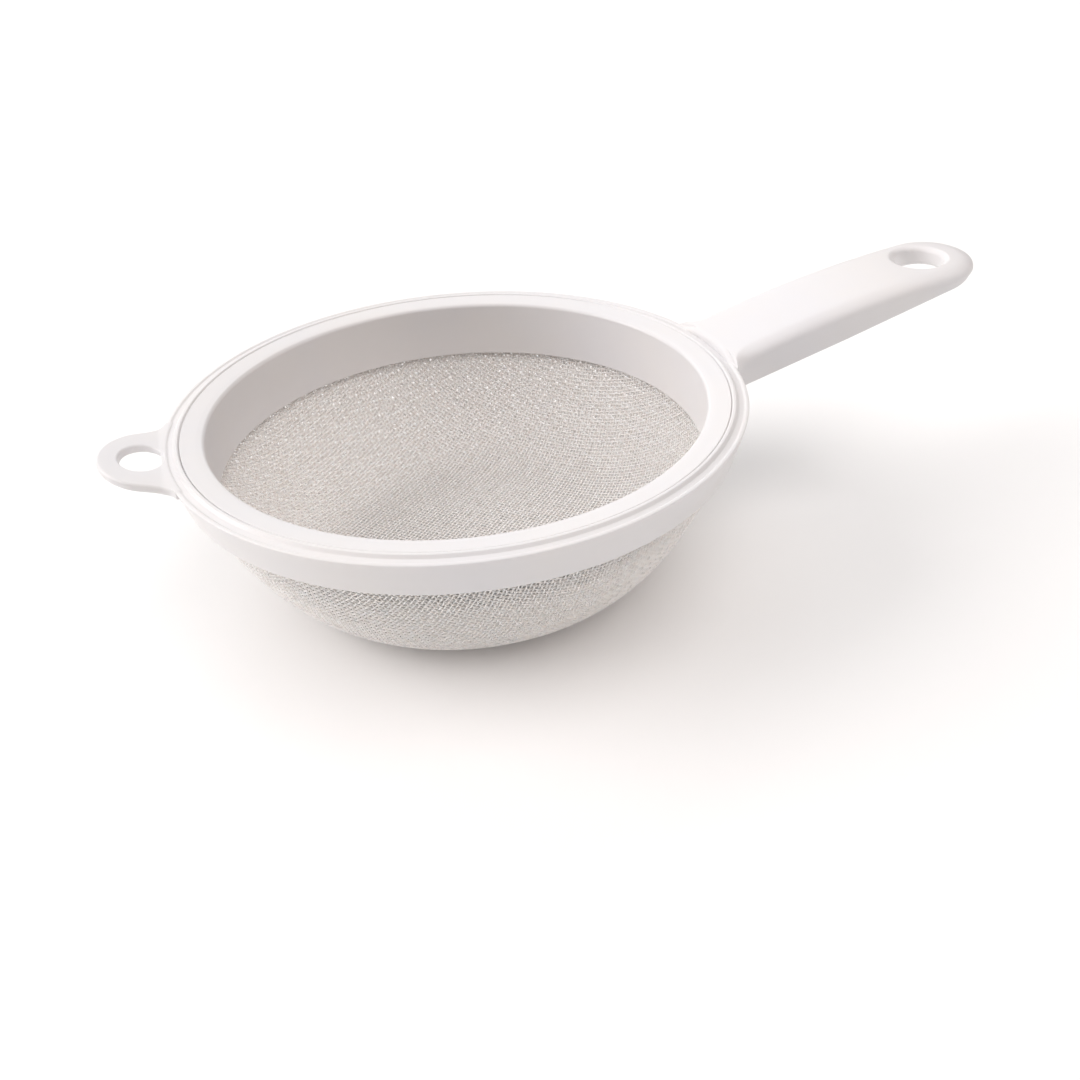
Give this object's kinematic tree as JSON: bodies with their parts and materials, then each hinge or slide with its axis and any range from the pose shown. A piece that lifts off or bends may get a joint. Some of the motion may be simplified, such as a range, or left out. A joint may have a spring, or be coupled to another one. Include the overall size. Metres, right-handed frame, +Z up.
{
  "type": "double sieve strainer",
  "caption": "Hand-held round strainer with nested mesh bowls: the inner sieve lifts out of the handled outer rim, which has a rest ear opposite the handle.",
  "frame": {"origin": "middle of the outer bowl's flat base, on the surface the strainer stands on", "axes": "+X along the handle, +Z up out of the mouth, -X towards the rest ear"},
  "size_m": [0.294, 0.18, 0.0762],
  "materials": {
    "frame_plastic": "satin moulded white",
    "insert_plastic": "satin moulded white",
    "hoop_plastic": "satin moulded white",
    "outer_thread": "woven pale monofilament",
    "inner_thread": "woven pale monofilament"
  },
  "bodies": {
    "outer_sieve": {"rim_frame": "frame_plastic", "handle": "frame_plastic", "rest_ear": "frame_plastic", "outer_mesh": "outer_thread", "outer_clamp_hoop": "hoop_plastic"},
    "inner_sieve": {"inner_frame": "insert_plastic", "inner_mesh": "inner_thread", "inner_clamp_hoop": "hoop_plastic"}
  },
  "joints": [
    {"name": "inner_sieve_lift", "type": "slide", "parent": "outer_sieve", "child": "inner_sieve", "axis": [0, 0, 1], "range_m": [0, 0.078]}
  ]
}
